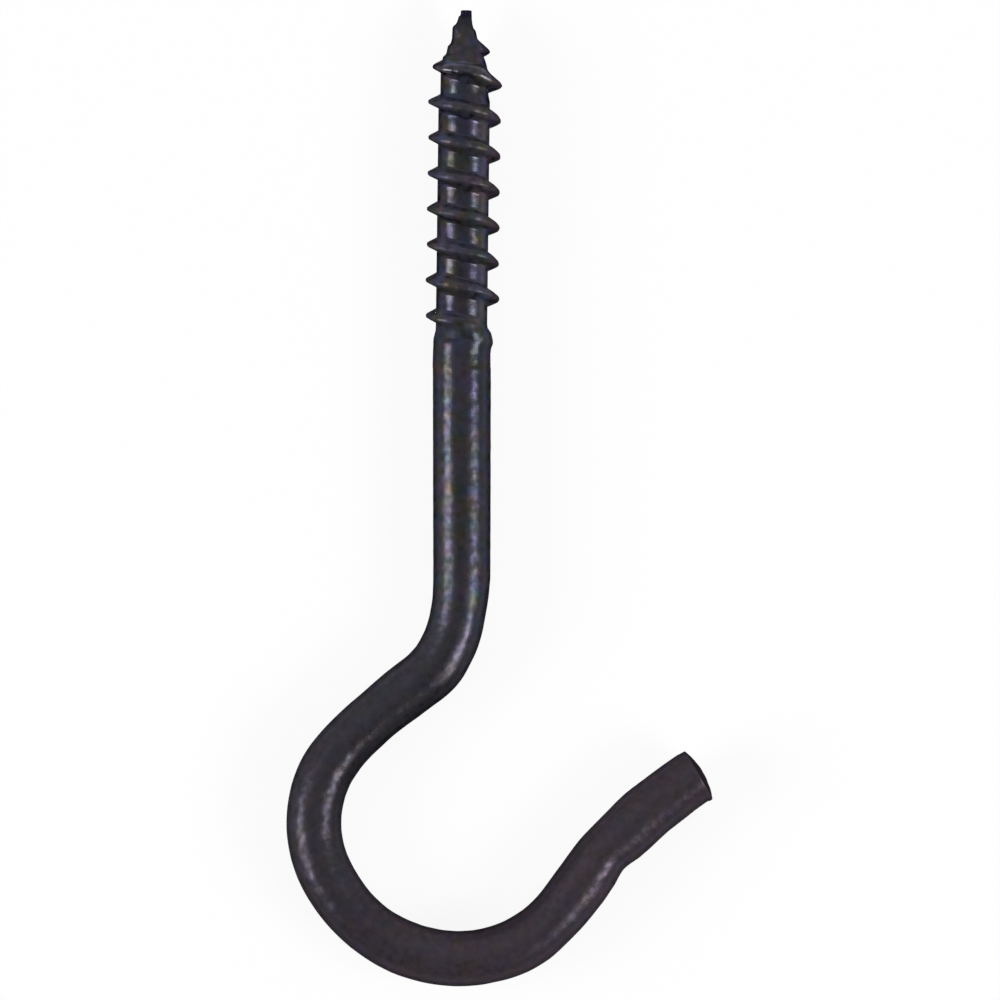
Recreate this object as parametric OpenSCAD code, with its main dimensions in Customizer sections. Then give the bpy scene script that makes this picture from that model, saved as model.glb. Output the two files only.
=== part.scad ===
// Screw hook: one piece of round steel wire.  A wood-screw thread with a gimlet point runs out
// into a plain shank, an offset bend leads into a round bowl, and the bowl ends in an out-turned
// lip with a sheared end.
//
// Frame: the hook lies flat in the XY plane.  +Y runs along the thread towards the point, +X
// towards the open side of the bowl, and the origin is on the thread's axis at its run-out.

/* [Wire] */
// Diameter of the plain wire
wire_d = 4.6; // [4.4:0.1:5.2]
// How much thinner the wire is in a bend, on the diameter
bend_draw = 0.04; // [0.02:0.02:0.2]

/* [Thread] */
// Hand of the thread
thread_hand = "left"; // [left, right]
// Length from the run-out to the tip of the point
thread_l = 27.2; // [18:0.1:40]
// Diameter over the thread's crests
thread_d = 5.9; // [5.5:0.1:6.6]
// Diameter of the thread's root
root_d = 4.2; // [3.4:0.1:4.3]
// Distance from one crest to the next
thread_pitch = 2.9; // [2.2:0.1:4]
// Width of the ridge where it leaves the root
ridge_base_w = 1.15; // [0.8:0.05:1.6]
// Width of the flat along the ridge's crest
ridge_crest_w = 0.3; // [0.2:0.05:0.6]
// Height above the run-out at which the ridge first passes +X
ridge_start_h = 0.7; // [0.3:0.1:1.5]
// Turn over which the ridge dies away at the run-out
runout_a = 220; // [120:20:320]
// Lean of the thread off the line of the shank, towards +X
thread_lean = 0.75; // [0:0.05:1]

/* [Point] */
// Length of the cone from the full root to the nib
point_l = 4; // [3:0.1:7]
// Diameter of the cone where it meets the nib
point_d = 1.4; // [1.2:0.1:2]
// Diameter of the blunt nib
nib_d = 0.9; // [0.6:0.1:1.1]
// Length of the nib
nib_l = 1.1; // [0.8:0.1:1.8]
// Length of the point that stands clear of the ridge
point_bare_l = 2.5; // [2:0.1:4]
// Turn over which the ridge rises behind that bare length
lead_in_a = 160; // [90:10:300]

/* [Shank] */
// Plain length from the run-out to the offset bend
shank_l = 20.4; // [12:0.1:40]
// Length of the cone between the plain wire and the root
shoulder_l = 0.7; // [0.5:0.1:2]

/* [Offset bend] */
// Radius of the bend, to the middle of the wire
offset_r = 9.6; // [7:0.1:14]
// Angle of the bend
offset_a = 50.5; // [35:0.5:60]
// Straight length between the bend and the bowl
offset_l = 6.7; // [3:0.1:12]

/* [Bowl] */
// Radius of the bowl's back, to the middle of the wire
bowl_back_r = 9.5; // [7:0.1:14]
// Angle of the bowl's back
bowl_back_a = 83; // [65:1:95]
// Radius of the bowl's lower side
bowl_low_r = 12.2; // [9:0.1:16]
// Angle of the bowl's lower side
bowl_low_a = 35; // [25:1:45]
// Radius of the bowl's front
bowl_front_r = 10.9; // [8:0.1:15]
// Angle of the bowl's front
bowl_front_a = 76; // [60:1:85]
// Straight left between one of the bowl's bends and the next
bowl_gap_l = 0.4; // [0.3:0.1:2]

/* [Lip] */
// Straight length between the bowl and the lip's bend
lip_gap_l = 4.1; // [1:0.1:6]
// Radius of the lip's outward bend
lip_r = 22; // [15:0.5:40]
// Angle of the lip's outward bend
lip_a = 18.5; // [8:0.5:30]
// Straight length at the end of the lip, to the top of the sheared end's crown
lip_l = 4.6; // [2:0.1:8]
// Height of that crown above the end's rim
crown_h = 0.4; // [0.2:0.05:0.8]
// Angle by which the shear ran off square
shear_a = 5; // [0:1:8]

/* [Hidden] */
$fn = 96;
BLACK = [0.19, 0.18, 0.2];
wire_r = wire_d / 2;
bend_wire_r = (wire_d - bend_draw) / 2;
root_r = root_d / 2;
ridge_h = (thread_d - root_d) / 2;
crest_r = thread_d / 2;
point_r = point_d / 2;
nib_r = nib_d / 2;

// A bend, and the thread's core, reach this far into the straight beside them, inside its skin.
LAP = 0.1;
// The ridge's foot is sunk this deep into the root, and its two ends fade to FADE below it.
SINK = 0.25;
FADE = 0.1;
// Steps in one turn of the ridge, and corners in its section.
TURN_STEPS = 30;
CORNERS = 4;

// Heights along the thread's axis.
nib_z = thread_l - nib_l;
step_z = nib_z - nib_r / 2;
cone_z = step_z - point_l;
tip_round = nib_r / 2;

// Radius of the sphere that crowns the sheared end.
crown_r = (wire_r * wire_r + crown_h * crown_h) / (2 * crown_h);

// Radius of the core against height, from inside the plain wire to the nib.
CORE = [
    [-LAP, bend_wire_r],
    [LAP, bend_wire_r],
    [shoulder_l, root_r],
    [cone_z, root_r],
    [step_z, point_r],
    [nib_z, nib_r]
];

// The wire's course beyond the shank: each row is a bend's radius and signed angle, where a
// positive angle turns left along the wire, and the straight length that follows it.
COURSE = [
    [offset_r, -offset_a, offset_l],
    [bowl_back_r, bowl_back_a, bowl_gap_l],
    [bowl_low_r, bowl_low_a, bowl_gap_l],
    [bowl_front_r, bowl_front_a, lip_gap_l],
    [lip_r, -lip_a, lip_l]
];

// The thread's core about +Z: shoulder, root, cone and nib.
module core() {
    rotate_extrude()
        polygon(concat(
            [[0, -LAP]],
            [for (p = CORE) [p[1], p[0]]],
            [[nib_r, thread_l - tip_round], [nib_r - tip_round, thread_l], [0, thread_l]]
        ));
}

// Share of the ridge's full height, from 0 at an end to 1 once the turn a lies behind it.
function rise(turned, a) = let (t = max(0, min(1, turned / a))) t * t * (3 - 2 * t);

// Corners of the ridge's section at an angle about the axis, with the ridge at height z.
function section(angle, z, share) =
    let (
        core_here = lookup(z, CORE),
        full_r = min(crest_r, core_here + ridge_h),
        low_r = core_here - FADE,
        top_r = low_r + (full_r - low_r) * share,
        foot_r = core_here - SINK,
        flank = (ridge_base_w - ridge_crest_w) / 2 / ridge_h,
        half_crest = ridge_crest_w / 2,
        half_foot = half_crest + flank * (top_r - foot_r)
    )
    [for (c = [[foot_r, -half_foot], [top_r, -half_crest], [top_r, half_crest], [foot_r, half_foot]])
        [c[0] * cos(angle), c[0] * sin(angle), z + c[1]]];

// The helical ridge, right-handed about +Z, as a ring of corners for each step along it.
module ridge() {
    first_a = -360 * ridge_start_h / thread_pitch;
    last_a = 360 * (thread_l - point_bare_l - ridge_start_h) / thread_pitch;
    steps = ceil((last_a - first_a) * TURN_STEPS / 360);
    angles = [for (i = [0 : steps]) first_a + (last_a - first_a) * i / steps];
    rings = [for (a = angles)
        section(a, ridge_start_h + thread_pitch * a / 360,
            rise(a - first_a, runout_a) * rise(last_a - a, lead_in_a))];
    points = [for (ring = rings) each ring];
    sides = [for (i = [0 : steps - 1], c = [0 : CORNERS - 1])
        let (d = (c + 1) % CORNERS)
        [CORNERS * i + c, CORNERS * i + d, CORNERS * (i + 1) + d, CORNERS * (i + 1) + c]];
    first_cap = [for (c = [CORNERS - 1 : -1 : 0]) c];
    last_cap = [for (c = [0 : CORNERS - 1]) CORNERS * steps + c];
    polyhedron(points, concat([first_cap], sides, [last_cap]));
}

// A straight of wire along +Y from the origin.
module straight(l) {
    rotate([-90, 0, 0]) cylinder(h = l, r = wire_r);
}

// A bend that leaves the origin along +Y, with its laps.
module bend(r, a) {
    lap_a = LAP / r * 180 / PI;
    side = sign(a);
    translate([-side * r, 0, 0])
        rotate([0, 0, side > 0 ? -lap_a : 180 + a - lap_a])
            rotate_extrude(angle = abs(a) + 2 * lap_a)
                translate([r, 0])
                    circle(r = bend_wire_r);
}

// The lip's last straight: its far end is crowned, and tilted about its middle.
module sheared_straight(l) {
    intersection() {
        straight(l);
        translate([0, l, 0])
            rotate([0, 0, -shear_a])
                translate([0, -crown_r, 0])
                    sphere(r = crown_r);
    }
}

// Lays the course row by row along +Y, each row in the frame in which the last one ends.
module wire(i = 0) {
    r = COURSE[i][0];
    a = COURSE[i][1];
    l = COURSE[i][2];
    bend(r, a);
    translate([-sign(a) * r, 0, 0])
        rotate([0, 0, a])
            translate([sign(a) * r, 0, 0])
                if (i + 1 < len(COURSE)) {
                    straight(l);
                    translate([0, l, 0]) wire(i + 1);
                } else {
                    sheared_straight(l);
                }
}

module screw_hook() {
    color(BLACK) {
        rotate([0, 0, -thread_lean])
            rotate([-90, 0, 0]) {
                core();
                mirror([0, thread_hand == "left" ? 1 : 0, 0]) ridge();
            }
        translate([0, -shank_l, 0]) {
            straight(shank_l);
            rotate([0, 0, 180]) wire();
        }
    }
}

screw_hook();
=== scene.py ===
"""Screw hook of black-coated steel wire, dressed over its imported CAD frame.

The hook is one piece and so is its mesh.  A helical thread is spun about +Y and its ends are cut
square.  The gimlet point is drawn up from one end, and the bent wire is run out from the other,
bend by bend.  Sizes are in millimetres until the finished mesh is scaled to metres.
"""

import logging
import math
from collections.abc import Iterable, Mapping
from dataclasses import dataclass, field
from enum import Enum

import bmesh
import bpy
from mathutils import Matrix, Vector, noise


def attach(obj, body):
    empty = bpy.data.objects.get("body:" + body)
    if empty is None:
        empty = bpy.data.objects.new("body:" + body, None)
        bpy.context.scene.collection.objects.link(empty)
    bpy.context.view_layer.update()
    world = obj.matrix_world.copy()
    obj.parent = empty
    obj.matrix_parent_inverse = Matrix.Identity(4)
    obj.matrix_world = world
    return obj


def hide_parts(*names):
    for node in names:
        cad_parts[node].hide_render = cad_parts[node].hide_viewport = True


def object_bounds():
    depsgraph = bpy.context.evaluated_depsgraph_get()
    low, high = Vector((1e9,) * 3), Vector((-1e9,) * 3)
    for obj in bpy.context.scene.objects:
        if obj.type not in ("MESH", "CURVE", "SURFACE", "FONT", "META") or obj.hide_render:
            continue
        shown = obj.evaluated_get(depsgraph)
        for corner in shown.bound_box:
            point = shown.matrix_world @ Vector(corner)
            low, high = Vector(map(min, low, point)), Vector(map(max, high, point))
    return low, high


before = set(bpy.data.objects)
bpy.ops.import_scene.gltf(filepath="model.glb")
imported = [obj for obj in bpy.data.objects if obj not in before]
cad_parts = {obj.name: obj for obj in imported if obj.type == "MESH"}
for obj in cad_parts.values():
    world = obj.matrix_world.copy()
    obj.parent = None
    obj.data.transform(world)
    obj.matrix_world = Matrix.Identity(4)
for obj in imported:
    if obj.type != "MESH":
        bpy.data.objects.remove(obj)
cad_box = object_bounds()

log = logging.getLogger("screw_hook")

Triple = tuple[float, float, float]
Colour = Triple
# What a node's socket takes: a number, a tuple, a socket to link, or a Value.
Input = object
Table = tuple[tuple[float, float], ...]
Slope = tuple[float, float]
Zone = tuple[Slope, Slope]

MM = 0.001
TURN = 2 * math.pi
ROUND = 96
# The middle of a pattern that runs from 0 to 1.
MIDDLE = 0.5
WELD = 1e-3
FINE_WELD = WELD / 10


class Trait(Enum):
    """What the mesh records about each of its points, for the finish to read."""

    UNBENT = "unbent"
    CREST = "crest"
    FLANK = "flank"
    SHEARED = "sheared"


# The traits that are shares, where the unbent place is a vector.
SHARES = (Trait.CREST, Trait.FLANK, Trait.SHEARED)


def ease(share: float) -> float:
    """Eases a share from 0 to 1, flat at both ends and beyond them."""
    t = min(max(share, 0.0), 1.0)
    return t * t * (3.0 - 2.0 * t)


def hump(distance: float, reach: float) -> float:
    """Gives a smooth hump at a distance from its middle: 1 at no distance, 0 from its reach outwards."""
    return ease(1.0 - abs(distance) / reach)


def midway(share: float) -> float:
    """Gives 1 for a share of a half, and less towards 0 and 1, where it ends at 0."""
    return 4.0 * share * (1.0 - share)


def read(table: Table, place: float) -> float:
    """Reads a table of places and values, straight from one row to the next.

    Args:
        table: The rows, from the lowest place to the highest.
        place: Where to read it.

    Returns:
        The value, held level beyond both ends.
    """
    if place <= table[0][0]:
        return table[0][1]
    for low, high in zip(table, table[1:]):
        if place <= high[0]:
            return low[1] + (high[1] - low[1]) * (place - low[0]) / (high[0] - low[0])
    return table[-1][1]


@dataclass
class Blank:
    """The mesh being worked, with a layer for each of its traits."""

    bm: bmesh.types.BMesh
    layers: dict[Trait, bmesh.types.BMLayerItem] = field(default_factory=dict)

    def __post_init__(self) -> None:
        """Adds the layers."""
        layers = self.bm.verts.layers
        for trait in SHARES:
            layers.float.new(trait.value)
        layers.float_vector.new(Trait.UNBENT.value)
        # A layer that is added moves the earlier ones, so they are looked up once all are there.
        for trait in SHARES:
            self.layers[trait] = layers.float[trait.value]
        self.layers[Trait.UNBENT] = layers.float_vector[Trait.UNBENT.value]

    def note(self, vert: bmesh.types.BMVert, trait: Trait, value: float | Vector) -> None:
        """Records a trait of one point."""
        vert[self.layers[trait]] = value

    def rim_at(self, height: float) -> list[bmesh.types.BMEdge]:
        """Finds the edges of the open rim that lies square across +Y at a height."""
        rims = (edge for edge in self.bm.edges if edge.is_boundary)
        return [edge for edge in rims if all(abs(vert.co.y - height) < WELD for vert in edge.verts)]

    def extrude(self, rim: list[bmesh.types.BMEdge]) -> list[bmesh.types.BMEdge]:
        """Extrudes an open rim in place and gives the new rim's edges."""
        made = bmesh.ops.extrude_edge_only(self.bm, edges=rim)["geom"]
        return [part for part in made if isinstance(part, bmesh.types.BMEdge) and part.is_boundary]

    def close(self, rim: list[bmesh.types.BMEdge]) -> None:
        """Closes an open rim with a fan about its middle."""
        cap = bmesh.ops.contextual_create(self.bm, geom=rim)["faces"]
        bmesh.ops.poke(self.bm, faces=cap)


def corners(rim: Iterable[bmesh.types.BMEdge]) -> list[bmesh.types.BMVert]:
    """Lists the corners of a rim, each one once, in the order in which its edges name them."""
    return list(dict.fromkeys(vert for edge in rim for vert in edge.verts))


def linked(name: str, data: bpy.types.ID) -> bpy.types.Object:
    """Makes an object of some data and links it to the scene.

    Args:
        name: The object's name.
        data: Its mesh, lamp or camera.

    Returns:
        The object.
    """
    made = bpy.data.objects.new(name, data)
    bpy.context.scene.collection.objects.link(made)
    return made


def finished(name: str, bm: bmesh.types.BMesh) -> bpy.types.Object:
    """Makes an object of a mesh that is done, and frees what it was worked on.

    Args:
        name: The object's name, and its mesh's.
        bm: The mesh.

    Returns:
        The object.
    """
    mesh = bpy.data.meshes.new(name)
    bm.to_mesh(mesh)
    bm.free()
    return linked(name, mesh)


@dataclass(frozen=True)
class Core:
    """Radius of the core along the thread's axis: a shoulder, an even root, and a pinched cone.

    Each table gives a radius at some heights above the run-out.
    """

    thread_l: float = 27.19
    root_r: float = 2.11
    # The shoulder at the sides and at the front, and the lump that the rolling pushed up on +X.
    shoulder: Table = ((-2.0, 2.38), (-0.6, 2.36), (0.0, 2.33), (0.33, 2.29), (0.6, 2.2), (0.9, 2.11))
    front_shoulder: Table = (
        (-2.0, 2.36),
        (-0.2, 2.34),
        (0.02, 2.31),
        (0.11, 2.24),
        (0.22, 2.13),
        (0.34, 2.11),
    )
    swell: Table = (
        (-1.1, 2.34),
        (-0.5, 2.42),
        (-0.1, 2.53),
        (0.2, 2.54),
        (0.6, 2.47),
        (0.85, 2.38),
        (0.95, 2.28),
        (1.03, 2.1),
    )
    swell_angle: float = math.radians(18)
    swell_reach: float = math.radians(85)
    # The cone and the nib on their +X side, and on the other.
    right: Table = (
        (19.7, 2.11),
        (20.3, 1.98),
        (22.1, 1.93),
        (22.6, 1.84),
        (23.1, 1.68),
        (24.2, 1.25),
        (24.9, 1.02),
        (25.55, 0.86),
        (25.72, 0.69),
        (26.1, 0.61),
        (26.5, 0.56),
        (27.2, 0.54),
    )
    left: Table = (
        (19.7, 2.11),
        (20.3, 1.97),
        (22.2, 1.96),
        (23.35, 1.8),
        (23.6, 1.53),
        (24.25, 1.4),
        (24.45, 1.18),
        (24.85, 1.07),
        (25.75, 1.04),
        (25.9, 0.97),
        (26.07, 0.77),
        (26.4, 0.63),
        (26.68, 0.56),
        (26.78, 0.4),
        (27.2, 0.37),
    )

    def radius(self, y: float, angle: float) -> float:
        """Gives the core's radius.

        Args:
            y: Height above the run-out.
            angle: Angle about the axis from +X towards +Z.

        Returns:
            The radius there.
        """
        if y < self.right[0][0]:
            towards_front = math.sin(angle) ** 2
            plain = read(self.shoulder, y) * (1.0 - towards_front)
            plain += read(self.front_shoulder, y) * towards_front
            swollen = max(0.0, read(self.swell, y) - plain)
            return plain + swollen * hump(math.remainder(angle - self.swell_angle, TURN), self.swell_reach)
        towards_left = (1.0 - math.cos(angle)) / 2
        return read(self.right, y) * (1.0 - towards_left) + read(self.left, y) * towards_left


@dataclass(frozen=True)
class Section:
    """Section of the thread's ridge, as offsets from the crest's line, up towards the point."""

    low_foot: float
    low_top: float
    high_top: float
    high_foot: float
    bulge: float = 1.0

    def rise(self, offset: float) -> float:
        """Gives the ridge's height as a share of the full one.

        Args:
            offset: Offset from the crest's line.

        Returns:
            The share, from 0 to 1.
        """
        low = ease((offset - self.low_foot) / (self.low_top - self.low_foot))
        high = ease((self.high_foot - offset) / (self.high_foot - self.high_top))
        return low * high**self.bulge


@dataclass(frozen=True)
class Thread:
    """The rolled wood-screw thread: a left-hand ridge round the core, fading at both ends.

    The ridge is full on the +X side, keen on the other, and slopes gently in between.
    """

    core: Core = field(default_factory=Core)
    # The crest's radius at some heights, where the thread begins to taper towards the point.
    crest: Table = ((19.5, 2.97), (21.0, 3.06), (22.6, 2.66), (23.9, 2.14), (25.2, 1.3))
    crest_offset: float = 0.05
    highest_z: float = 2.94
    pitch: float = 2.925
    start_y: float = 0.64
    # The ridge's section on the +X side, on the other, and at the front and the back.
    full: Section = Section(-0.54, -0.14, 0.0, 0.77, 0.6)
    keen: Section = Section(-0.50, -0.05, 0.10, 0.52)
    front: Section = Section(-0.78, 0.04, 0.24, 0.93)
    side_power: int = 4
    front_drop: float = 0.25
    front_lift: float = 0.03
    front_twist: float = 0.02
    # The first ridge below the point lies flatter: it is lifted in front, most towards +X.
    lead_lift: float = 0.24
    lead_twist: float = 0.9
    lead_y: float = 22.4
    lead_reach: float = 1.5
    # How the ridge's width and height wander along the helix.
    section_wander: float = 0.12
    wander_scale: float = 1.7
    crest_wander: float = 0.09
    crest_nicks: float = 0.045
    nick_scale: float = 6.0
    noise_climb: float = 1.6
    # The mesh's rows: close together over the ridge, from its low foot to its high one.
    ridge_low: float = -0.84
    ridge_high: float = 1.42
    ridge_rows: int = 28
    root_rows: int = 5
    # The turns over which the ridge fades in at the run-out and out at the bare point.
    runout_from: float = math.radians(-100)
    runout_turn: float = math.radians(270)
    lead_in_turn: float = math.radians(95)
    bare_l: float = 2.65
    # The ridge's tail sags towards the plain wire.
    tail_drop: float = 0.6
    tail_from: float = 0.85
    tail_over: float = 0.45
    tail_slide: float = 2.4
    # Where the flank that faces the point starts and is full, as offsets from the crest's line.
    flank_from: float = -0.2
    flank_until: float = 0.3
    least_sine: float = 0.1
    # Heights at which the sheet is cut square.
    low_cut: float = -2.0
    high_cut: float = 25.15
    spare_turns: int = 2

    def _rows(self) -> list[float]:
        """Lists the rows of one pitch as offsets from the crest's line, closer on the ridge.

        Returns:
            The offsets, from the foot of one ridge to the foot of the next.
        """
        spacing = (self.ridge_high - self.ridge_low) / self.ridge_rows
        ridge = [self.ridge_low + spacing * i for i in range(self.ridge_rows)]
        spare = self.pitch - (self.ridge_high - self.ridge_low)
        root = [self.ridge_high + spare * i / self.root_rows for i in range(self.root_rows + 1)]
        return [*ridge, *root]

    def _rise(self, offset: float, angle: float, y: float, wander: float) -> float:
        """Gives the ridge's height in its section, as a share of the full one.

        Args:
            offset: Offset from the crest's line, up towards the point.
            angle: Angle about the axis from +X towards +Z.
            y: Height above the run-out.
            wander: How much narrower the ridge is here than elsewhere, as a share.

        Returns:
            The share, from 0 to 1.
        """
        place = offset * (1.0 + wander)
        sloped = 1.0 - math.cos(angle) ** self.side_power
        side = self.full if math.cos(angle) > 0 else self.keen
        lift = self.front_lift + self.front_twist * math.cos(angle)
        lead = hump(y - self.lead_y, self.lead_reach)
        lift += self.lead_lift * lead * (1.0 + self.lead_twist * math.cos(angle))
        return side.rise(place) * (1.0 - sloped) + self.front.rise(place - lift) * sloped

    def _share(self, turned: float) -> float:
        """Gives the ridge's height as it fades in and out, as a share of the full one.

        Args:
            turned: Angle turned along the helix since it passed +X next to the run-out.

        Returns:
            The share, from 0 to 1.
        """
        last = TURN * (self.core.thread_l - self.bare_l - self.start_y) / self.pitch
        runout = ease((turned - self.runout_from) / self.runout_turn) ** 2
        return runout * ease((last - turned) / self.lead_in_turn)

    def _shape(self, blank: Blank, vert: bmesh.types.BMVert) -> None:
        """Moves a point of the plain helical sheet to the thread's surface.

        Args:
            blank: The mesh being worked.
            vert: The point, on a cylinder about Y.
        """
        x, y, z = vert.co
        angle = math.atan2(z, x)
        climb = self.pitch * angle / TURN
        # The ridge reaches further up than down from its crest's line.
        lift = (self.ridge_high + self.ridge_low) / 2
        offset = (y - self.start_y - climb - lift + self.pitch / 2) % self.pitch - self.pitch / 2 + lift
        turned = (y - offset - self.start_y) / self.pitch * TURN
        # Where the helix's unevenness is read: it drifts with each turn, so no two turns are alike.
        along = Vector((math.cos(angle), math.sin(angle), turned / TURN * self.noise_climb))
        share = self._share(turned)
        wander = self.section_wander * noise.noise(along * self.wander_scale)
        rise = self._rise(offset, angle, y, wander)
        tail = 1.0 - ease((y - self.tail_from) / self.tail_over)
        y -= self.tail_drop * tail * ease((y - self.low_cut) / self.tail_slide)
        core_r = self.core.radius(y, angle)
        full = read(self.crest, y) + self.crest_offset * math.cos(angle) - core_r
        full -= self.front_drop * math.sin(angle) ** 2
        uneven = self.crest_wander * noise.noise(along)
        uneven += self.crest_nicks * noise.noise(along * self.nick_scale)
        radius = core_r + (full + uneven) * share * rise
        radius = min(radius, self.highest_z / max(abs(math.sin(angle)), self.least_sine))
        vert.co = (radius * math.cos(angle), y, radius * math.sin(angle))
        blank.note(vert, Trait.CREST, rise * share)
        # Only the flank that faces the point counts; the coat paints light onto it.
        upper = ease((offset - self.flank_from) / (self.flank_until - self.flank_from))
        blank.note(vert, Trait.FLANK, share * midway(rise) * upper)

    def build(self, blank: Blank) -> None:
        """Spins one turn of the thread's sheet, repeats it, shapes it, and cuts both ends square.

        Args:
            blank: The mesh being worked, empty so far.
        """
        bm = blank.bm
        base = self.start_y - self.spare_turns * self.pitch
        column = [bm.verts.new((self.core.root_r, base + row, 0.0)) for row in self._rows()]
        line = [bm.edges.new(pair) for pair in zip(column, column[1:])]
        bmesh.ops.spin(
            bm,
            geom=[*column, *line],
            cent=(0, 0, 0),
            axis=(0, -1, 0),
            dvec=(0, self.pitch / ROUND, 0),
            angle=TURN,
            steps=ROUND,
            use_merge=False,
        )
        one_turn = [*bm.verts, *bm.edges, *bm.faces]
        turns = math.ceil((self.high_cut - base) / self.pitch) + 1
        for i in range(1, turns):
            copied = bmesh.ops.duplicate(bm, geom=one_turn)["geom"]
            points = [part for part in copied if isinstance(part, bmesh.types.BMVert)]
            bmesh.ops.translate(bm, vec=(0, self.pitch * i, 0), verts=points)
        bmesh.ops.remove_doubles(bm, verts=bm.verts[:], dist=WELD)
        for vert in bm.verts:
            self._shape(blank, vert)
        for height, keep_above in ((self.low_cut, True), (self.high_cut, False)):
            bmesh.ops.bisect_plane(
                bm,
                geom=[*bm.verts, *bm.edges, *bm.faces],
                dist=FINE_WELD,
                plane_co=(0, height, 0),
                plane_no=(0, 1, 0),
                clear_inner=keep_above,
                clear_outer=not keep_above,
            )
        log.info("thread: %d faces over %d turns", len(bm.faces), turns)


@dataclass(frozen=True)
class GimletPoint:
    """The pinched point: a lobe folded over on its -X side, a groove beside it, a squared nib."""

    core: Core = field(default_factory=Core)
    # The groove, and its twin on the other side of the point.
    groove_depth: float = 0.13
    groove_angle: float = math.radians(116)
    groove_half_angle: float = math.radians(26)
    groove_y: float = 25.95
    groove_reach: float = 0.8
    # The nib, which the dies left nearly square.
    squareness: float = 0.16
    square_from: float = 25.7
    square_over: float = 0.6
    ring_step: float = 0.075
    top_round: float = 0.07
    # Each ring of the rounded top, as a share of the one before and of the round's height.
    top_rings: tuple[tuple[float, float], ...] = ((0.9, 0.7), (0.8, 0.25), (0.5, 0.05))

    def _radius(self, angle: float, y: float) -> float:
        """Gives the point's radius.

        Args:
            angle: Angle about the axis from +X towards +Z.
            y: Height above the run-out.

        Returns:
            The radius there.
        """
        plain = self.core.radius(y, angle)
        square = self.squareness * plain * ease((y - self.square_from) / self.square_over)
        flats = square * (abs(math.sin(2 * angle)) - MIDDLE)
        # The dies met twice round the point, so the groove has a twin opposite it.
        beside = min(abs(math.remainder(angle - self.groove_angle + turn, TURN)) for turn in (0, math.pi))
        depth = self.groove_depth * hump(y - self.groove_y, self.groove_reach)
        return plain + flats - depth * hump(beside, self.groove_half_angle)

    def build(self, blank: Blank, foot_y: float) -> None:
        """Draws the point up from the thread's upper rim and closes its top.

        Args:
            blank: The mesh being worked.
            foot_y: Height of that rim.
        """
        rim = blank.rim_at(foot_y)
        climb = self.core.thread_l - self.top_round - foot_y
        rings = math.ceil(climb / self.ring_step)
        for i in range(1, rings + 1):
            rim = blank.extrude(rim)
            y = foot_y + climb * i / rings
            for vert in corners(rim):
                angle = math.atan2(vert.co.z, vert.co.x)
                radius = self._radius(angle, y)
                vert.co = (radius * math.cos(angle), y, radius * math.sin(angle))
                blank.note(vert, Trait.CREST, 0.0)
        for shrink, rise in self.top_rings:
            rim = blank.extrude(rim)
            verts = corners(rim)
            bmesh.ops.scale(blank.bm, vec=(shrink, 1, shrink), verts=verts)
            bmesh.ops.translate(blank.bm, vec=(0, self.top_round * rise, 0), verts=verts)
        blank.close(rim)
        log.info("gimlet point: %d rings", rings)


@dataclass(frozen=True)
class Bend:
    """One bend of the wire, positive to the left of travel, and the straight after it."""

    radius: float
    degrees: float
    straight: float

    @property
    def angle(self) -> float:
        """The bend's signed angle in radians."""
        return math.radians(self.degrees)

    @property
    def arc(self) -> float:
        """The bend's length along the middle of the wire."""
        return self.radius * abs(self.angle)


@dataclass(frozen=True)
class Station:
    """A place along the wire: its distance from the run-out, its centre and its heading."""

    along: float
    centre: Vector
    heading: float

    @property
    def side(self) -> Vector:
        """Direction to the left of travel, in the plane of the hook."""
        return Vector((-math.sin(self.heading), math.cos(self.heading), 0.0))

    @property
    def forward(self) -> Vector:
        """Direction of travel."""
        return Vector((math.cos(self.heading), math.sin(self.heading), 0.0))

    def ahead(self, length: float) -> "Station":
        """Gives the place that lies straight ahead."""
        return Station(self.along + length, self.centre + self.forward * length, self.heading)

    def round(self, bend: Bend, length: float) -> "Station":
        """Gives the place that lies further round a bend that starts here.

        Args:
            bend: The bend.
            length: The distance to the place along the middle of the wire.

        Returns:
            The place.
        """
        angle = math.copysign(length / bend.radius, bend.angle)
        pivot = self.centre + self.side * math.copysign(bend.radius, bend.angle)
        centre = pivot + Matrix.Rotation(angle, 3, "Z") @ (self.centre - pivot)
        return Station(self.along + length, centre, self.heading + angle)


@dataclass(frozen=True)
class Course:
    """The way the wire takes from the run-out: the shank, then bends with straights after them."""

    shank_l: float = 20.4
    bends: tuple[Bend, ...] = (
        Bend(9.6, -50.5, 6.7),
        Bend(9.5, 83.0, 0.4),
        Bend(12.2, 35.0, 0.4),
        Bend(10.9, 76.0, 4.1),
        Bend(22.0, -18.5, 4.6),
    )

    @property
    def length(self) -> float:
        """Length from the run-out to the lip's end."""
        return self.shank_l + sum(bend.arc + bend.straight for bend in self.bends)

    def station(self, along: float) -> Station:
        """Finds a place along the wire.

        Args:
            along: Its distance from the run-out.

        Returns:
            The place.
        """
        here = Station(0.0, Vector((0.0, 0.0, 0.0)), -math.pi / 2)
        if along <= self.shank_l:
            return here.ahead(along)
        here = here.ahead(self.shank_l)
        for bend in self.bends:
            if along <= here.along + bend.arc:
                return here.round(bend, along - here.along)
            here = here.round(bend, bend.arc)
            if along <= here.along + bend.straight:
                return here.ahead(along - here.along)
            here = here.ahead(bend.straight)
        return here.ahead(along - here.along)


class Side(Enum):
    """A side of the wire in the hook's plane, as seen along its travel."""

    LEFT = 1.0
    RIGHT = -1.0


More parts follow.
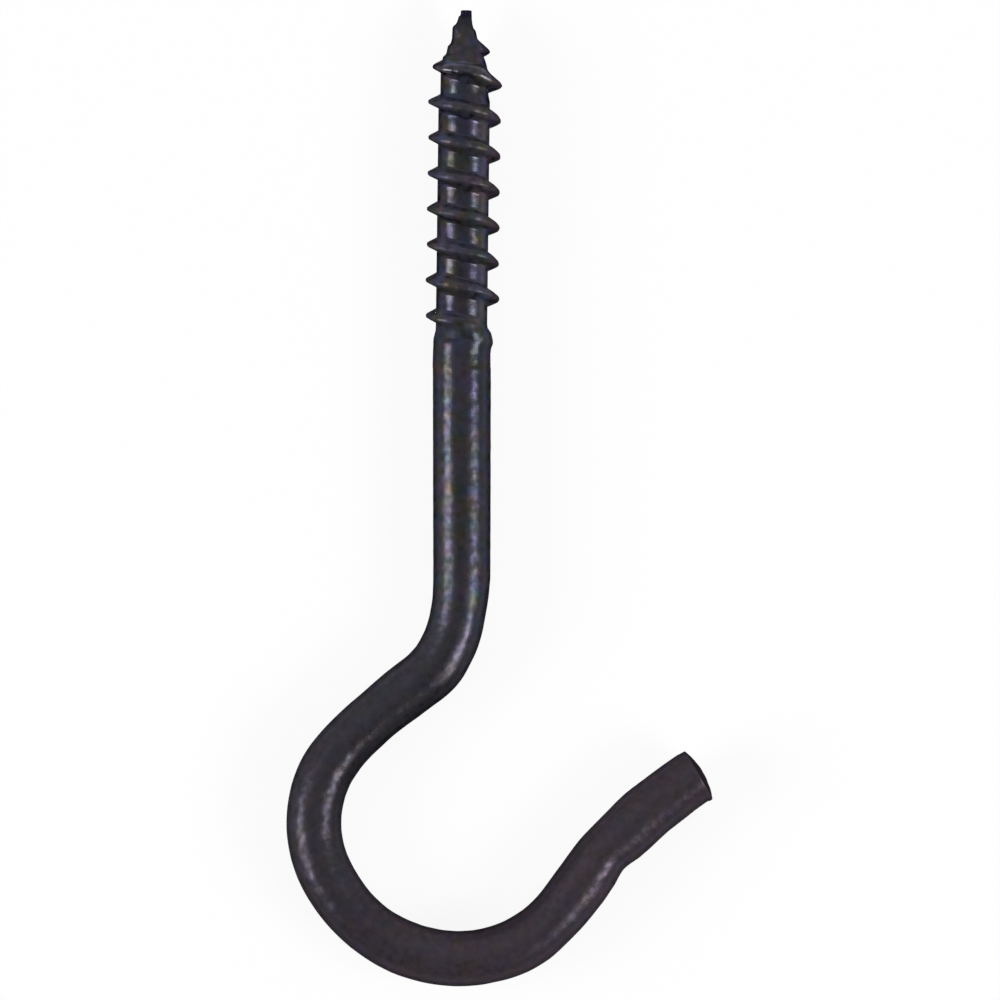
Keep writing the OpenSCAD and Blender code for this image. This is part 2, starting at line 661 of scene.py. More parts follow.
@dataclass(frozen=True)
class Mark:
    """A flat that a bending tool pressed into one side of the wire, or a swell where it gave."""

    side: Side
    along: float
    reach: float
    depth: float
    spread: float = 1.5

    def change(self, along: float, towards_left: float) -> float:
        """Gives what the mark adds to the radius, where a place faces left by a share from -1 to 1."""
        facing = max(0.0, towards_left * self.side.value)
        return -self.depth * facing**self.spread * hump(along - self.along, self.reach)


@dataclass(frozen=True)
class BentWire:
    """The plain wire from the run-out to the lip, with the marks that bending left on it."""

    course: Course = field(default_factory=Course)
    # The wire's radius at some distances from the run-out.
    girth: Table = (
        (0.0, 2.39),
        (20.0, 2.345),
        (26.0, 2.29),
        (34.0, 2.24),
        (40.0, 2.26),
        (47.0, 2.26),
        (52.0, 2.26),
        (78.0, 2.28),
        (83.0, 2.3),
        (88.0, 2.3),
    )
    start: float = 2.2
    ring_step: float = 0.22
    marks: tuple[Mark, ...] = (
        Mark(Side.LEFT, 22.0, 3.2, 0.2),
        Mark(Side.LEFT, 27.2, 2.4, -0.15),
        Mark(Side.LEFT, 33.0, 3.6, 0.15),
        Mark(Side.LEFT, 37.8, 2.5, -0.05),
        Mark(Side.LEFT, 45.0, 4.0, 0.02),
        Mark(Side.LEFT, 54.5, 6.5, 0.12),
        Mark(Side.LEFT, 70.0, 9.0, 0.03),
        Mark(Side.LEFT, 79.3, 3.0, 0.12),
        Mark(Side.LEFT, 86.0, 3.5, -0.08),
        Mark(Side.RIGHT, 22.0, 3.0, -0.08),
        Mark(Side.RIGHT, 27.0, 2.8, 0.08),
        Mark(Side.RIGHT, 31.0, 2.5, -0.05),
        Mark(Side.RIGHT, 36.8, 3.2, 0.13),
        Mark(Side.RIGHT, 57.2, 3.0, -0.06),
        Mark(Side.RIGHT, 66.8, 3.0, -0.08),
        Mark(Side.RIGHT, 70.4, 2.0, 0.09),
        Mark(Side.RIGHT, 73.9, 2.0, -0.06),
        Mark(Side.RIGHT, 77.3, 1.9, 0.2),
        Mark(Side.RIGHT, 80.4, 3.2, -0.17),
        Mark(Side.RIGHT, 86.2, 3.0, 0.13),
    )
    uneven_h: float = 0.014
    uneven_l: float = 0.9

    def _press(self, blank: Blank, station: Station, ring: list[bmesh.types.BMVert]) -> None:
        """Bends one ring of the straight wire into place and presses the marks into it.

        Args:
            blank: The mesh being worked.
            station: Where the ring goes.
            ring: Its points, round the Y axis.
        """
        along = station.along
        plain = read(self.girth, along)
        near = [mark for mark in self.marks if abs(mark.along - along) < mark.reach]
        for vert in ring:
            blank.note(vert, Trait.UNBENT, vert.co)
            # The straight wire runs towards -Y, so its +X side becomes the left of travel.
            around = math.atan2(vert.co.z, vert.co.x)
            towards_left = math.cos(around)
            radius = plain + sum(mark.change(along, towards_left) for mark in near)
            radius += self.uneven_h * noise.noise(vert.co / self.uneven_l)
            across = station.side * (radius * towards_left)
            vert.co = station.centre + across + Vector((0, 0, radius * math.sin(around)))

    def build(self, blank: Blank, spare: float) -> list[bmesh.types.BMEdge]:
        """Cuts the wire to length, rings it finely, and bends it ring by ring.

        Args:
            blank: The mesh being worked.
            spare: Length that is left at the lip's end for the sheared end.

        Returns:
            The open rim at the lip's end.
        """
        bm = blank.bm
        upright = Matrix.Rotation(math.pi / 2, 4, "X")
        place = Matrix.Translation((0, -self.start, 0)) @ upright
        circle = {"segments": ROUND, "radius": self.girth[0][1], "matrix": place}
        first = bmesh.ops.create_circle(bm, **circle)["verts"]
        start = list(dict.fromkeys(edge for vert in first for edge in vert.link_edges))
        rim = blank.extrude(start)
        length = self.course.length - spare - self.start
        bmesh.ops.translate(bm, vec=(0, -length, 0), verts=corners(rim))
        ends = {*start, *rim}
        sides = [edge for vert in first for edge in vert.link_edges if edge not in ends]
        cuts = math.ceil(length / self.ring_step)
        bmesh.ops.subdivide_edges(bm, edges=sides, cuts=cuts, use_grid_fill=True)
        rim = blank.rim_at(-self.start - length)
        rings: dict[float, list[bmesh.types.BMVert]] = {}
        for vert in bm.verts:
            if vert.co.y < WELD - self.start:
                rings.setdefault(round(-vert.co.y, 3), []).append(vert)
        for along, ring in rings.items():
            self._press(blank, self.course.station(along), ring)
        log.info("bent wire: %d rings over %.1f mm", len(rings), self.course.length)
        return rim


@dataclass(frozen=True)
class ShearedEnd:
    """The lip's sheared end: a broken edge, and a crowned face that runs off square."""

    crown_h: float = 0.4
    shear_a: float = math.radians(5)
    edge_round: float = 0.12
    edge_lead: float = 0.25
    edge_steps: int = 4
    rings: int = 12
    torn_h: float = 0.04
    torn_l: float = 0.7
    spare: float = 1.0

    def _profile(self, radius: float) -> list[tuple[float, float]]:
        """Lists the end's rings as a radius and a height above the face's rim.

        Args:
            radius: The wire's radius.

        Returns:
            The rings, from the skin to the middle.
        """
        rings = [(radius, -self.edge_round - self.edge_lead), (radius, -self.edge_round)]
        for i in range(1, self.edge_steps + 1):
            turn = math.pi / 2 * i / self.edge_steps
            fall = self.edge_round * (1 - math.cos(turn))
            rings.append((radius - fall, self.edge_round * (math.sin(turn) - 1)))
        face_r = radius - self.edge_round
        for i in range(1, self.rings):
            share = 1 - i / self.rings
            rings.append((face_r * share, self.crown_h * (1 - share**2)))
        return rings

    def build(self, blank: Blank, rim: list[bmesh.types.BMEdge], last: Station) -> None:
        """Carries the wire on to its edge, rounds that and closes the end with a crowned face.

        Args:
            blank: The mesh being worked.
            rim: The wire's open rim.
            last: Where that rim lies.
        """
        top = last.ahead(self.spare).centre
        facing = Matrix.Rotation(-self.shear_a, 3, "Z") @ last.forward
        base = top - last.forward * self.crown_h
        ring = corners(rim)
        radius = sum((vert.co - last.centre).length for vert in ring) / len(ring)
        for ring_r, height in self._profile(radius):
            rim = blank.extrude(rim)
            for vert in corners(rim):
                arm = vert.co - base
                flat = (arm - facing * arm.dot(facing)).normalized() * ring_r
                torn = self.torn_h * noise.noise((flat + base) / self.torn_l) if height > 0 else 0.0
                vert.co = base + flat + facing * (height + torn)
                reach = last.along + (vert.co - last.centre).dot(last.forward)
                blank.note(vert, Trait.UNBENT, Vector((flat.dot(last.side), -reach, vert.co.z)))
                blank.note(vert, Trait.SHEARED, 1.0 if height > -WELD else 0.0)
                blank.note(vert, Trait.CREST, 0.0)
        blank.close(rim)
        log.info("sheared end: crowned %.1f mm", self.crown_h)


@dataclass(frozen=True)
class Value:
    """A value in a node tree, on which Python's operators add Math nodes."""

    bench: "Bench"
    socket: bpy.types.NodeSocket

    def _math(self, operation: str, *values: Input) -> "Value":
        """Adds a Math node, with the values in its sockets in order."""
        return self.bench.value("ShaderNodeMath", {"operation": operation}, dict(enumerate(values)))

    def __add__(self, other: Input) -> "Value":
        """Adds."""
        return self._math("ADD", self, other)

    def __radd__(self, other: Input) -> "Value":
        """Adds, from the right."""
        return self._math("ADD", other, self)

    def __sub__(self, other: Input) -> "Value":
        """Subtracts."""
        return self._math("SUBTRACT", self, other)

    def __rsub__(self, other: Input) -> "Value":
        """Subtracts, from the right."""
        return self._math("SUBTRACT", other, self)

    def __mul__(self, other: Input) -> "Value":
        """Multiplies."""
        return self._math("MULTIPLY", self, other)

    def __rmul__(self, other: Input) -> "Value":
        """Multiplies, from the right."""
        return self._math("MULTIPLY", other, self)

    def clipped(self, low: float, high: float) -> "Value":
        """Runs the value's stretch from low to high smoothly from 0 to 1.

        Args:
            low: The value that becomes 0.
            high: The value that becomes 1.

        Returns:
            The new value.
        """
        settings = {"interpolation_type": "SMOOTHSTEP"}
        sockets = {"Value": self, "From Min": low, "From Max": high}
        return self.bench.value("ShaderNodeMapRange", settings, sockets)

    def between(self, rise: Slope, fall: Slope) -> "Value":
        """Gives 1 on the stretch between two slopes of the value, and 0 outside them."""
        return self.clipped(*rise) - self.clipped(*fall)


@dataclass(frozen=True)
class Bench:
    """A node tree being wired."""

    tree: bpy.types.NodeTree

    @staticmethod
    def of(owner: bpy.types.Material | bpy.types.World) -> "Bench":
        """Turns the owner's nodes on and clears its tree for wiring.

        Args:
            owner: The material or the world.

        Returns:
            The empty tree's bench.
        """
        owner.use_nodes = True
        owner.node_tree.nodes.clear()
        return Bench(owner.node_tree)

    def node(
        self,
        kind: str,
        settings: Mapping[str, Input] | None = None,
        sockets: Mapping[str | int, Input] | None = None,
    ) -> bpy.types.Node:
        """Makes a node.

        Args:
            kind: The node's type.
            settings: Its settings, which are set first.
            sockets: A value or a link for each of its sockets that needs one.

        Returns:
            The node.
        """
        made = self.tree.nodes.new(kind)
        for name, setting in (settings or {}).items():
            setattr(made, name, setting)
        for name, given in (sockets or {}).items():
            if isinstance(given, Value):
                self.tree.links.new(given.socket, made.inputs[name])
            elif isinstance(given, bpy.types.NodeSocket):
                self.tree.links.new(given, made.inputs[name])
            else:
                made.inputs[name].default_value = given
        return made

    def value(
        self,
        kind: str,
        settings: Mapping[str, Input] | None = None,
        sockets: Mapping[str | int, Input] | None = None,
    ) -> Value:
        """Makes a node and gives its first output as a value."""
        return Value(self, self.node(kind, settings, sockets).outputs[0])

    def trait(self, trait: Trait) -> bpy.types.NodeSocket:
        """Reads one of the mesh's traits: a vector for the unbent place, a number otherwise."""
        found = self.node("ShaderNodeAttribute", {"attribute_name": trait.value})
        return found.outputs["Vector" if trait is Trait.UNBENT else "Fac"]

    def noise(self, place: bpy.types.NodeSocket, size: float, detail: float) -> Value:
        """Adds a noise pattern, with the size of its largest features in millimetres."""
        sockets = {"Vector": place, "Scale": 1 / size, "Detail": detail}
        return self.value("ShaderNodeTexNoise", {"noise_dimensions": "3D"}, sockets)

    def vector(self, operation: str, *values: Input) -> bpy.types.NodeSocket:
        """Adds a Vector Math node, with the values in its sockets in order."""
        return self.node("ShaderNodeVectorMath", {"operation": operation}, dict(enumerate(values))).outputs[0]

    def scaled(self, vector: bpy.types.NodeSocket, share: Value) -> bpy.types.NodeSocket:
        """Multiplies a vector or a colour by a value."""
        sockets = {"Vector": vector, "Scale": share}
        return self.node("ShaderNodeVectorMath", {"operation": "SCALE"}, sockets).outputs[0]

    def blend(self, share: Value, first: Input, second: Input) -> bpy.types.NodeSocket:
        """Mixes two colours or links, where the share is how much of the second shows."""
        # The Mix node's colour sockets stand after its value and vector ones.
        fill = {0: share, 6: self._solid(first), 7: self._solid(second)}
        return self.node("ShaderNodeMix", {"data_type": "RGBA"}, fill).outputs[2]

    @staticmethod
    def _solid(colour: Input) -> Input:
        """Gives a plain colour its alpha, and leaves a link alone."""
        return (*colour, 1.0) if isinstance(colour, tuple) else colour


@dataclass(frozen=True)
class Spot:
    """A point of the coat: its place on the unbent wire, and the mesh's traits there."""

    place: bpy.types.NodeSocket
    across: Value
    height: Value
    level: Value
    crest: Value
    flank: Value
    sheared: Value

    @staticmethod
    def read(bench: Bench) -> "Spot":
        """Reads the point.

        Args:
            bench: The node tree being wired.

        Returns:
            The point.
        """
        place = bench.trait(Trait.UNBENT)
        axes = bench.node("ShaderNodeSeparateXYZ", {}, {"Vector": place}).outputs
        across, height, level = (Value(bench, axes[axis]) for axis in "XYZ")
        crest, flank, sheared = (Value(bench, bench.trait(trait)) for trait in SHARES)
        return Spot(place, across, height, level, crest, flank, sheared)

    @property
    def along(self) -> Value:
        """Distance along the wire from the run-out."""
        return self.height * -1.0


@dataclass(frozen=True)
class Film:
    """The coat at a point: how far each of its patches covers it, and its patterns there."""

    cone: Value
    lead: Value
    rolled: Value
    soft: Value
    pooled: Value
    tone: Value
    grain: Value
    # How far along the wire the coat is, give or take its drift.
    turned: Value
    # What the coat's beads add to its metallic part.
    shine: Value


@dataclass(frozen=True)
class BlackCoat:
    """Thin semi-gloss black coat on drawn steel: uneven, a little grainy, rubbed at its edges, with painted
    light and shade in its colour.

    A slope runs from 0 to 1 between its two numbers, and a zone is a slope up and a slope down.
    Their numbers are places in millimetres, unless a comment says otherwise.
    """

    name: str = "black_coat"

    body: Colour = (0.0443, 0.0430, 0.0548)
    dusky: Colour = (0.0458, 0.0418, 0.0511)
    warm: Colour = (0.0478, 0.0388, 0.0482)
    # Rubbed crests and cone, and the first ridge's painted highlight.
    rubbed_and_highlit: Colour = (0.068, 0.065, 0.078)
    torn: Colour = (0.018, 0.013, 0.019)
    lobe: Colour = (0.055, 0.040, 0.053)
    # The nib's dark violet, also painted as shade along the point's outline.
    dark_violet: Colour = (0.016, 0.013, 0.032)
    rim_tint: Colour = (0.08, 0.08, 0.11)

    # Up the thread.
    rolled: Slope = (-0.5, 1.0)
    # Painted highlight: the thread's root is lighter on its +X side over this stretch.
    right_highlight_zone: Zone = ((-0.5, 1.0), (18.5, 20.0))
    pooled: Zone = ((0.0, 0.3), (1.15, 1.5))
    cone: Zone = ((19.6, 21.0), (25.0, 26.0))
    lead: Zone = ((21.2, 21.8), (22.9, 23.4))
    bare: Slope = (22.8, 23.4)
    nib: Slope = (26.3, 26.8)

    # Along the wire.
    soft: Zone = ((2.0, 13.0), (27.0, 31.0))
    less_metal: Slope = (14.0, 54.0)
    calm: Slope = (19.0, 26.0)
    to_dusky: Slope = (20.0, 31.0)
    to_warm: Slope = (46.0, 60.0)
    # Painted shade along the wire's inner rim: on the arm, and at half strength on the bowl's front.
    arm_rim_shade: Zone = ((26.0, 30.0), (37.0, 45.0))
    front_rim_shade: Zone = ((60.0, 65.0), (74.0, 80.0))
    bowl_dull: Zone = ((35.0, 41.0), (52.0, 57.0))
    bowl_rough: Slope = (36.0, 42.0)
    lip_lit: Slope = (53.0, 60.0)

    # Across the wire or the thread, towards +X.
    left_of_middle: Slope = (-0.7, 0.1)
    # Where the painted highlight on the thread's root reaches across.
    right_highlight_side: Slope = (0.4, 1.5)
    inner_side: Slope = (1.3, 2.0)
    lobe_tip: Slope = (2.0, 2.6)
    # The square of the height over the hook's plane.
    point_front: Slope = (0.03, 0.6)
    # A share of the ridge's height, and a tone of the coat.
    rubbed_crest: Slope = (0.5, 1.0)
    rubbed_tone: Slope = (0.2, 0.6)

    # Patterns: the size of their features, the finer layers in them, and where they are read.
    tone_size: float = 0.62
    tone_detail: float = 2.6
    bead_size: float = 0.55
    wave_size: float = 0.7
    smooth_detail: float = 0.5
    grain_size: float = 0.22
    grain_detail: float = 2.0
    drawn_size: float = 0.16
    drawn_stretch: Triple = (1.0, 0.03, 1.0)
    drift_size: float = 3.5
    drift_detail: float = 2.0
    drift: float = 14.0
    hue_size: float = 1.4
    plain_detail: float = 1.0
    bead_place: Triple = (2.0, 9.0, 4.0)
    wave_place: Triple = (7.0, 3.0, 5.0)

    # How much of each colour shows, and how far the hue strays.
    rub_and_highlight_share: float = 0.35
    torn_share: float = 0.8
    # Painted shade along the point's outline.
    outline_shade_share: float = 0.6
    cone_rub: float = 0.7
    # Painted highlight on the first ridge's crest, in the rubbed colour.
    lead_highlight: float = 2.0
    hue_swing: Triple = (1.05, 0.0, 1.6)
    hue_calm: float = 0.62
    cone_hue: float = 0.2
    lead_calm: float = 0.8

    # Changes of tone, as shares.
    tone_swing: float = 0.5
    cone_swing: float = 0.9
    bead_evening: float = 0.8
    soft_shade: float = 0.05
    pooled_shade: float = 0.15
    # Painted light on the ridges' upper flanks.
    flank_painted_light: float = 0.9
    # Painted highlight on the thread root's +X side.
    right_highlight_gain: float = 0.6
    # Painted shade along the wire's inner rim, and its share on the bowl's front.
    painted_shade: float = 0.42
    front_rim_shade_share: float = 0.5
    bowl_shade: float = 0.07
    lip_gain: float = 0.12

    # What lets the steel show through the coat.
    ior: float = 1.5
    metallic: float = 0.58
    metallic_drop: float = 0.09
    rolled_gain: float = 0.15
    soft_gain: float = 0.15
    lead_gain: float = 0.6
    pooled_drop: float = 0.3
    crest_drop: float = 0.12
    bead_swing: float = 0.95
    thread_swing: float = 0.5

    # How dull it is.
    roughness: float = 0.255
    tone_roughness: float = 0.10
    grain_roughness: float = 0.06
    torn_roughness: float = 0.22
    rolled_roughness: float = 0.04
    soft_roughness: float = 0.08
    bowl_roughness: float = 0.08
    crest_roughness: float = 0.15
    pooled_roughness: float = 0.22

    # Relief in millimetres.
    coat_wave: float = 0.03
    coat_grain: float = 0.006
    drawn_lines: float = 0.004
    torn_grain: float = 0.03

    def _film(self, bench: Bench, spot: Spot) -> Film:
        """Lays the coat's patches and its patterns.

        Args:
            bench: The node tree being wired.
            spot: The point of the coat.

        Returns:
            The film there.
        """
        rolled = spot.height.clipped(*self.rolled)
        drift = bench.noise(spot.place, self.drift_size, self.drift_detail)
        bead_place = bench.vector("ADD", spot.place, self.bead_place)
        bead = bench.noise(bead_place, self.bead_size, self.smooth_detail)
        return Film(
            cone=spot.height.between(*self.cone),
            lead=spot.crest * spot.height.between(*self.lead),
            rolled=rolled,
            soft=spot.along.between(*self.soft),
            pooled=spot.height.between(*self.pooled) * (1.0 - spot.across.clipped(*self.left_of_middle)),
            tone=bench.noise(spot.place, self.tone_size, self.tone_detail),
            grain=bench.noise(spot.place, self.grain_size, self.grain_detail),
            turned=spot.along + self.drift * (drift - MIDDLE),
            shine=self.bead_swing * (1.0 + self.thread_swing * rolled) * (bead - MIDDLE),
        )

    def _hue(self, bench: Bench, spot: Spot, film: Film) -> bpy.types.NodeSocket:
        """Gives the uneven part of the coat's hue, calmer beyond the shank, and on the first ridge, which
        carries a painted highlight.

        Args:
            bench: The node tree being wired.
            spot: The point of the coat.
            film: The film there.

        Returns:
            A vector by which each part of the colour is raised or lowered, as a share.
        """
        sockets = {"Vector": spot.place, "Scale": 1 / self.hue_size, "Detail": self.plain_detail}
        hue = bench.node("ShaderNodeTexNoise", {"noise_dimensions": "3D"}, sockets).outputs["Color"]
        hue = bench.vector("SUBTRACT", hue, (MIDDLE, MIDDLE, MIDDLE))
        hue = bench.vector("MULTIPLY", hue, self.hue_swing)
        swing = 1.0 - self.hue_calm * spot.along.clipped(*self.calm) + self.cone_hue * film.cone
        return bench.scaled(hue, swing * (1.0 - self.lead_calm * film.lead))

    def _colour(self, bench: Bench, spot: Spot, film: Film) -> bpy.types.NodeSocket:
        """Colours the coat: warmer towards the lip, uneven in hue, rubbed on its crests and cone, dark violet
        at the nib, with a painted highlight on the first ridge and painted shade along the point's outline.

        Args:
            bench: The node tree being wired.
            spot: The point of the coat.
            film: The film there.

        Returns:
            The colour's link, before it is made lighter or darker.
        """
        rub_and_highlight = spot.crest.clipped(*self.rubbed_crest) * film.tone.clipped(*self.rubbed_tone)
        # The crests and the cone are rubbed; the first ridge gets a painted highlight in the same colour.
        rub_and_highlight = rub_and_highlight + self.cone_rub * film.cone + self.lead_highlight * film.lead
        colour = bench.blend(film.turned.clipped(*self.to_dusky), self.body, self.dusky)
        colour = bench.blend(film.turned.clipped(*self.to_warm), colour, self.warm)
        colour = bench.blend(rub_and_highlight * self.rub_and_highlight_share, colour, self.rubbed_and_highlit)
        colour = bench.blend(spot.sheared * self.torn_share, colour, self.torn)
        colour = bench.vector("MULTIPLY_ADD", colour, self._hue(bench, spot, film), colour)
        colour = bench.blend(spot.height.clipped(*self.nib), colour, self.dark_violet)
        # Painted shade: the point is darkened along its outline, near the hook's plane, from the bare stretch
        # up.
        front = (spot.level * spot.level).clipped(*self.point_front)
        edge = self.outline_shade_share * spot.height.clipped(*self.bare) * (1.0 - front)
        colour = bench.blend(edge, colour, self.dark_violet)
        return bench.blend(spot.crest * spot.across.clipped(*self.lobe_tip), colour, self.lobe)

    def _shade(self, spot: Spot, film: Film) -> Value:
        """Paints light and shade into the coat: painted light on the ridges' upper flanks and on the thread
        root's +X side, painted shade along the wire's inner rim; it is also darker over the bowl and lighter
        towards the lip.

        Args:
            spot: The point of the coat.
            film: The film there.

        Returns:
            The factor by which the coat is lighter or darker.
        """
        shade = 1.0 + self.tone_swing * (1.0 + self.cone_swing * film.cone) * (film.tone - MIDDLE)
        shade = shade * (1.0 + self.bead_evening * film.shine) * (1.0 + self.soft_shade * film.soft)
        shade = shade * (1.0 - self.pooled_shade * film.pooled)
        # Painted highlight: lighter on the thread root's +X side, off the crests.
        right = spot.height.between(*self.right_highlight_zone) * spot.across.clipped(*self.right_highlight_side)
        right = self.right_highlight_gain * right * (1.0 - spot.crest)
        # Painted shade: the coat is darkened along the wire's inner rim on the arm and the bowl's front, and
        # over the bowl.
        shaded_stretch = spot.along.between(*self.arm_rim_shade)
        shaded_stretch = shaded_stretch + self.front_rim_shade_share * spot.along.between(*self.front_rim_shade)
        painted_shade = self.painted_shade * shaded_stretch * spot.across.clipped(*self.inner_side)
        painted_shade = painted_shade + self.bowl_shade * spot.along.between(*self.bowl_dull)
        # Painted light lifts the upper flanks; the painted highlight and shade above are applied here too.
        shade = shade * (1.0 + self.flank_painted_light * spot.flank + right) * (1.0 - painted_shade)
        return shade * (1.0 + self.lip_gain * spot.along.clipped(*self.lip_lit))

    def _metallic(self, spot: Spot, film: Film) -> Value:
        """Lets the steel show through the coat.

        Args:
            spot: The point of the coat.
            film: The film there.

        Returns:
            The metallic share.
        """
        metallic = self.metallic + film.shine - self.metallic_drop * film.turned.clipped(*self.less_metal)
        metallic = metallic + self.rolled_gain * film.rolled + self.soft_gain * film.soft
        metallic = metallic - self.pooled_drop * film.pooled - self.crest_drop * spot.crest
        return metallic + self.lead_gain * film.lead

    def _roughness(self, spot: Spot, film: Film) -> Value:
        """Makes the coat duller on the bends, the bowl, the crests and the torn end.

        Args:
            spot: The point of the coat.
            film: The film there.

        Returns:
            The roughness.
        """
        rough = self.roughness + self.tone_roughness * (film.tone - MIDDLE)
        rough = rough + self.grain_roughness * (film.grain - MIDDLE)
        rough = rough + self.torn_roughness * spot.sheared + self.rolled_roughness * film.rolled
        rough = rough + self.soft_roughness * film.soft + self.pooled_roughness * film.pooled
        rough = rough + self.bowl_roughness * spot.along.clipped(*self.bowl_rough)
        return rough + self.crest_roughness * (spot.crest - film.lead)

    def _relief(self, bench: Bench, spot: Spot, film: Film) -> bpy.types.NodeSocket:
        """Raises the coat's waves and grain, the lines of the drawn wire and the torn end's grain.

        Args:
            bench: The node tree being wired.
            spot: The point of the coat.
            film: The film there.

        Returns:
            The normal's link.
        """
        wave_place = bench.vector("ADD", spot.place, self.wave_place)
        drawn_place = bench.vector("MULTIPLY", spot.place, self.drawn_stretch)
        drawn = bench.noise(drawn_place, self.drawn_size, self.plain_detail)
        height = self.coat_wave * bench.noise(wave_place, self.wave_size, self.smooth_detail)
        height = height + self.coat_grain * film.grain + self.drawn_lines * drawn * (1.0 - spot.crest)
        height = height + self.torn_grain * spot.sheared * film.grain
        sockets = {"Height": height, "Distance": MM, "Strength": 1.0}
        return bench.node("ShaderNodeBump", {}, sockets).outputs[0]

    def material(self) -> bpy.types.Material:
        """Makes the finish.

        Returns:
            The material.
        """
        made = bpy.data.materials.new(self.name)
        bench = Bench.of(made)
        spot = Spot.read(bench)
        film = self._film(bench, spot)
        sockets = {
            "Base Color": bench.scaled(self._colour(bench, spot, film), self._shade(spot, film)),
            "Roughness": self._roughness(spot, film),
            "Metallic": self._metallic(spot, film),
            "IOR": self.ior,
            "Specular IOR Level": 0.0,
            "Specular Tint": (*self.rim_tint, 1.0),
            "Normal": self._relief(bench, spot, film),
        }
        shader = bench.node("ShaderNodeBsdfPrincipled", {}, sockets)
        bench.node("ShaderNodeOutputMaterial", {}, {"Surface": shader.outputs[0]})
        return made


@dataclass
class ScrewHook:
    """The whole hook: thread, gimlet point, bent wire and sheared end, as one closed piece."""

    thread: Thread = field(default_factory=Thread)
    point: GimletPoint = field(default_factory=GimletPoint)
    wire: BentWire = field(default_factory=BentWire)
    end: ShearedEnd = field(default_factory=ShearedEnd)
    coat: BlackCoat = field(default_factory=BlackCoat)
    thread_lean: float = math.radians(0.7)
    thread_shift: float = 0.045
    shift_from: float = -0.4
    name: str = "screw_hook_wire"

    def _shape(self, bm: bmesh.types.BMesh) -> None:
        """Builds the hook in millimetres.

        Args:
            bm: An empty mesh.
        """
        blank = Blank(bm)
        self.thread.build(blank)
        self.point.build(blank, self.thread.high_cut)
        for vert in bm.verts:
            blank.note(vert, Trait.UNBENT, vert.co)
            vert.co.x -= self.thread_shift * ease(vert.co.y - self.shift_from)
        lean = Matrix.Rotation(-self.thread_lean, 3, "Z")
        foot = blank.rim_at(self.thread.low_cut)
        bmesh.ops.rotate(bm, cent=(0, 0, 0), matrix=lean, verts=bm.verts[:])
        rim = self.wire.build(blank, self.end.spare)
        start = blank.rim_at(-self.wire.start)
        bmesh.ops.bridge_loops(bm, edges=[*foot, *start])
        course = self.wire.course
        self.end.build(blank, rim, course.station(course.length - self.end.spare))
        bmesh.ops.remove_doubles(bm, verts=bm.verts[:], dist=FINE_WELD)
        bmesh.ops.recalc_face_normals(bm, faces=bm.faces[:])

    def build(self) -> bpy.types.Object:
        """Builds the hook's object.

        Returns:
            The object, at the origin.
        """
        bm = bmesh.new()
        self._shape(bm)
        bmesh.ops.scale(bm, vec=(MM, MM, MM), verts=bm.verts[:])
        for face in bm.faces:
            face.smooth = True
        open_edges = sum(not edge.is_manifold for edge in bm.edges)
        log.info("%s: %d faces, %d open edges", self.name, len(bm.faces), open_edges)
        return finished(self.name, bm)

    def dress(self, piece: bpy.types.Object) -> None:
        """Gives the hook its finish and ties it to the frame.

        Args:
            piece: The hook's object.
        """
        piece.data.materials.append(self.coat.material())
        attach(piece, "root")
        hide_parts("screw_hook")


@dataclass(frozen=True)
class Lamp:
    """A soft box, aimed at the hook from a direction."""

    name: str
    azimuth: float
    polar: float
    width: float
    height: float
    radiance: float
    reach: float = 1.5

    def build(self, target: Vector) -> None:
        """Hangs the lamp.

        Args:
            target: What it is aimed at.
        """
        azimuth, polar = math.radians(self.azimuth), math.radians(self.polar)
        flat = Vector((math.cos(azimuth), math.sin(azimuth), 0.0)) * math.sin(polar)
        away = flat + Vector((0, 0, math.cos(polar)))
        data = bpy.data.lights.new(self.name, "AREA")
        data.shape = "RECTANGLE"
        data.size, data.size_y = self.width, self.height
        data.energy = self.radiance * math.pi * self.width * self.height
        made = linked(self.name, data)
        made.location = target + away * self.reach
        made.rotation_euler = away.to_track_quat("Z", "Y").to_euler()
        made.visible_camera = False


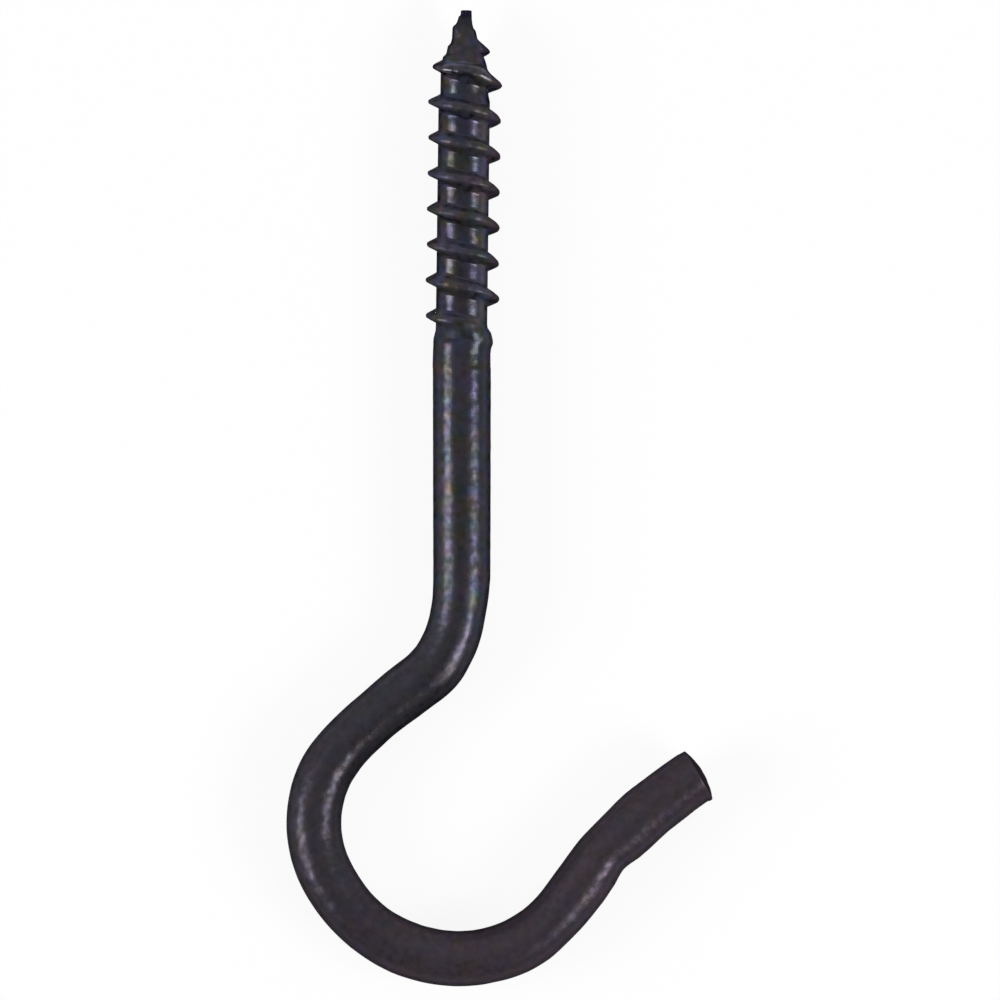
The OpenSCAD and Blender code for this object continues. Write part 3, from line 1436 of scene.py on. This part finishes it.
@dataclass(frozen=True)
class Studio:
    """Pale floor, soft lamps and the camera straight above."""

    lamps: tuple[Lamp, ...] = (
        Lamp("left_box", 190.0, 59.0, 0.90, 0.68, 9.0),
        Lamp("right_box", -21.0, 53.0, 0.88, 0.57, 11.4),
    )
    floor_colour: Colour = (0.86, 0.86, 0.86)
    floor_white: float = 0.9
    seen_by: tuple[str, ...] = ("Is Camera Ray", "Is Glossy Ray", "Is Transmission Ray")
    floor_r: float = 3.0
    near_sky: Colour = (0.04, 0.04, 0.04)
    far_sky: Colour = (0.6, 0.6, 0.6)
    sky_rise: Slope = (-0.4, 0.5)
    lens: float = 300.0
    sensor: float = 36.0
    clip_start: float = 0.01
    frame_w: float = 0.08197
    aim: tuple[float, float] = (0.00003, -0.00014)

    def floor(self, level: float) -> None:
        """Lays the floor.

        Args:
            level: Its height.
        """
        bm = bmesh.new()
        place = Matrix.Translation((0, 0, level))
        bmesh.ops.create_circle(bm, cap_ends=True, segments=ROUND, radius=self.floor_r, matrix=place)
        made = finished("floor", bm)
        paint = bpy.data.materials.new("floor_paint")
        bench = Bench.of(paint)
        matt = bench.node("ShaderNodeBsdfDiffuse", {}, {"Color": (*self.floor_colour, 1.0)})
        white = bench.node("ShaderNodeEmission", {}, {"Strength": 1.0})
        seen = [Value(bench, bench.node("ShaderNodeLightPath").outputs[ray]) for ray in self.seen_by]
        share = {"Fac": (seen[0] + seen[1] + seen[2]) * self.floor_white}
        mixed = bench.node("ShaderNodeMixShader", {}, share | {1: matt.outputs[0], 2: white.outputs[0]})
        bench.node("ShaderNodeOutputMaterial", {}, {"Surface": mixed.outputs[0]})
        paint.cycles.emission_sampling = "NONE"
        made.data.materials.append(paint)

    def sky(self) -> None:
        """Gives the world its even light, a little stronger from beyond the point."""
        world = bpy.data.worlds.new("studio")
        bench = Bench.of(world)
        way = bench.node("ShaderNodeTexCoord").outputs["Generated"]
        rise = Value(bench, bench.node("ShaderNodeSeparateXYZ", {}, {"Vector": way}).outputs["Y"])
        sky = bench.blend(rise.clipped(*self.sky_rise), self.near_sky, self.far_sky)
        glow = bench.node("ShaderNodeBackground", {}, {"Color": sky})
        bench.node("ShaderNodeOutputWorld", {}, {"Surface": glow.outputs[0]})
        bpy.context.scene.world = world

    def camera(self, centre: Vector) -> None:
        """Sets the camera straight above the hook.

        Args:
            centre: The middle of the hook's box.
        """
        data = bpy.data.cameras.new("camera")
        data.lens, data.sensor_width = self.lens, self.sensor
        data.clip_start = self.clip_start
        made = linked("camera", data)
        height = self.frame_w * self.lens / self.sensor
        made.location = Vector((centre.x + self.aim[0], centre.y + self.aim[1], height))
        bpy.context.scene.camera = made

    def build(self, box: tuple[Vector, Vector]) -> None:
        """Sets the studio up round the hook.

        Args:
            box: Lowest and highest corner of the hook.
        """
        centre = (box[0] + box[1]) / 2
        self.floor(box[0].z)
        self.sky()
        for lamp in self.lamps:
            lamp.build(centre)
        self.camera(centre)
        bpy.context.scene.view_settings.view_transform = "Standard"
        log.info("studio: %d lamps", len(self.lamps))


def main() -> None:
    """Builds the hook and the studio round it."""
    logging.basicConfig(level=logging.INFO, format="%(name)s: %(message)s")
    hook = ScrewHook()
    piece = hook.build()
    hook.dress(piece)
    Studio().build(cad_box)


if __name__ == "__main__":
    main()
